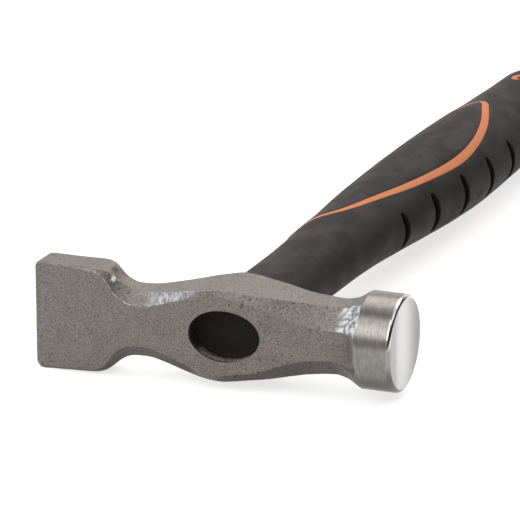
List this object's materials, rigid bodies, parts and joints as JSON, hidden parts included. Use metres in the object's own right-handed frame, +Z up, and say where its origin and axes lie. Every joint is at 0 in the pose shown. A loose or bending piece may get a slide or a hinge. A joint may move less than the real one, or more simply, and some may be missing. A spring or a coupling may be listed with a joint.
{
  "type": "sheet-metal hammer",
  "caption": "Forged steel hammer head with a round ground face and a broad flat cross pein, on an oval glass-fibre handle with an outlined rubber grip.",
  "frame": {"origin": "middle of the bounding box's bottom, with the hammer lying on its side on the lower edge of its pein", "axes": "+X along the head towards the round face, +Y along the handle from the head to the butt, +Z up, square to the hammer's plane of symmetry"},
  "size_m": [0.116, 0.3108, 0.035],
  "materials": {
    "forged_steel": "sand-blasted forging, with the bell and round face ground bright",
    "black_resin": "cast black resin",
    "glass_fibre": "pultruded glass-fibre rod",
    "orange_plastic": "moulded hard plastic, satin",
    "black_rubber": "matte thermoplastic rubber"
  },
  "bodies": {
    "root": {"head": "forged_steel", "eye_resin": "black_resin", "glass_fibre_core": "glass_fibre", "handle_jacket": "orange_plastic", "grip_sleeve": "black_rubber", "palm_panel_left": "black_rubber", "palm_panel_right": "black_rubber"}
  },
  "joints": []
}
